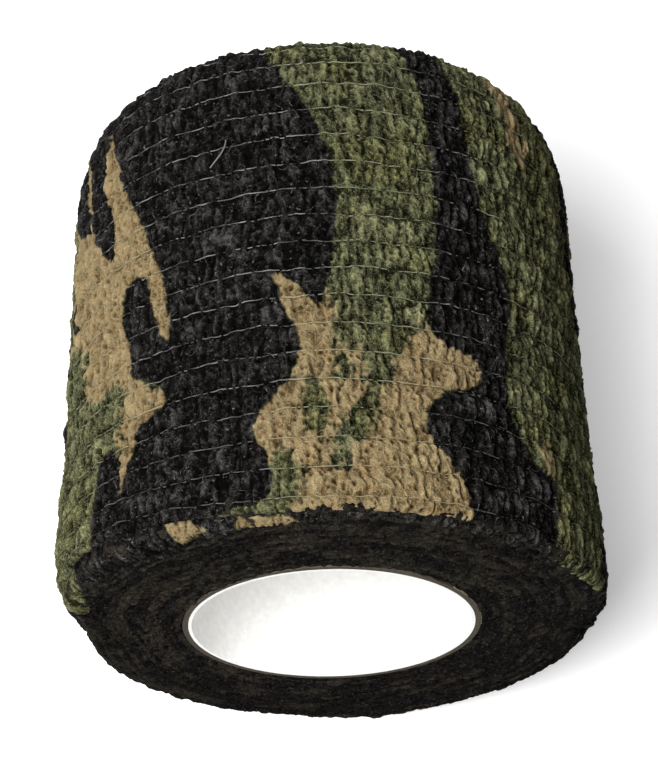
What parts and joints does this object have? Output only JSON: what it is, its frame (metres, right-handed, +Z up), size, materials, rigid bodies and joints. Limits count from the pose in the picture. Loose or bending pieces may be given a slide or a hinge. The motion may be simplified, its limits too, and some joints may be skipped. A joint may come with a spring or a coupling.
{
  "type": "camouflage cohesive wrap roll",
  "caption": "Roll of crinkled cohesive elastic wrap on a paperboard core, printed in woodland camouflage, with a free end that peels away.",
  "frame": {"origin": "centre of the core's bore, halfway along the roll", "axes": "+Y along the roll's axis, from the near end to the far end; +Z up, with the roll lying on its side; +X towards the free end"},
  "size_m": [0.0497, 0.05, 0.0495],
  "materials": {
    "printed_wrap": "matte",
    "elastic_thread": "satin",
    "core_board": "matte",
    "paper_liner": "matte",
    "glue": "satin"
  },
  "bodies": {
    "roll": {"core_liner": "paper_liner", "core_board": "core_board", "core_glue": "glue", "wound_turns": "printed_wrap", "outer_turn_face_web": "printed_wrap", "outer_turn_elastic_threads": "elastic_thread", "outer_turn_backing_web": "printed_wrap"},
    "tail_1": {"tail_1_face_web": "printed_wrap", "tail_1_elastic_threads": "elastic_thread", "tail_1_backing_web": "printed_wrap"},
    "tail_2": {"tail_2_face_web": "printed_wrap", "tail_2_elastic_threads": "elastic_thread", "tail_2_backing_web": "printed_wrap"},
    "tail_3": {"tail_3_face_web": "printed_wrap", "tail_3_elastic_threads": "elastic_thread", "tail_3_backing_web": "printed_wrap"},
    "tail_4": {"tail_4_face_web": "printed_wrap", "tail_4_elastic_threads": "elastic_thread", "tail_4_backing_web": "printed_wrap"},
    "tail_5": {"tail_5_face_web": "printed_wrap", "tail_5_elastic_threads": "elastic_thread", "tail_5_backing_web": "printed_wrap"},
    "tail_6": {"tail_6_face_web": "printed_wrap", "tail_6_elastic_threads": "elastic_thread", "tail_6_backing_web": "printed_wrap"}
  },
  "joints": [
    {"name": "tail_1_lift", "type": "hinge", "parent": "roll", "child": "tail_1", "pos_m": [0.01612, 0, -0.01905], "axis": [0, 1, 0], "range_deg": [0, 20], "stiffness_Nm_per_rad": 0.002},
    {"name": "tail_2_lift", "type": "hinge", "parent": "tail_1", "child": "tail_2", "pos_m": [0.01861, 0, -0.01664], "axis": [0, 1, 0], "range_deg": [0, 20], "stiffness_Nm_per_rad": 0.002},
    {"name": "tail_3_lift", "type": "hinge", "parent": "tail_2", "child": "tail_3", "pos_m": [0.02075, 0, -0.01391], "axis": [0, 1, 0], "range_deg": [0, 20], "stiffness_Nm_per_rad": 0.002},
    {"name": "tail_4_lift", "type": "hinge", "parent": "tail_3", "child": "tail_4", "pos_m": [0.02248, 0, -0.0109], "axis": [0, 1, 0], "range_deg": [0, 20], "stiffness_Nm_per_rad": 0.002},
    {"name": "tail_5_lift", "type": "hinge", "parent": "tail_4", "child": "tail_5", "pos_m": [0.02378, 0, -0.00769], "axis": [0, 1, 0], "range_deg": [0, 20], "stiffness_Nm_per_rad": 0.002},
    {"name": "tail_6_lift", "type": "hinge", "parent": "tail_5", "child": "tail_6", "pos_m": [0.02462, 0, -0.00432], "axis": [0, 1, 0], "range_deg": [0, 20], "stiffness_Nm_per_rad": 0.002}
  ]
}
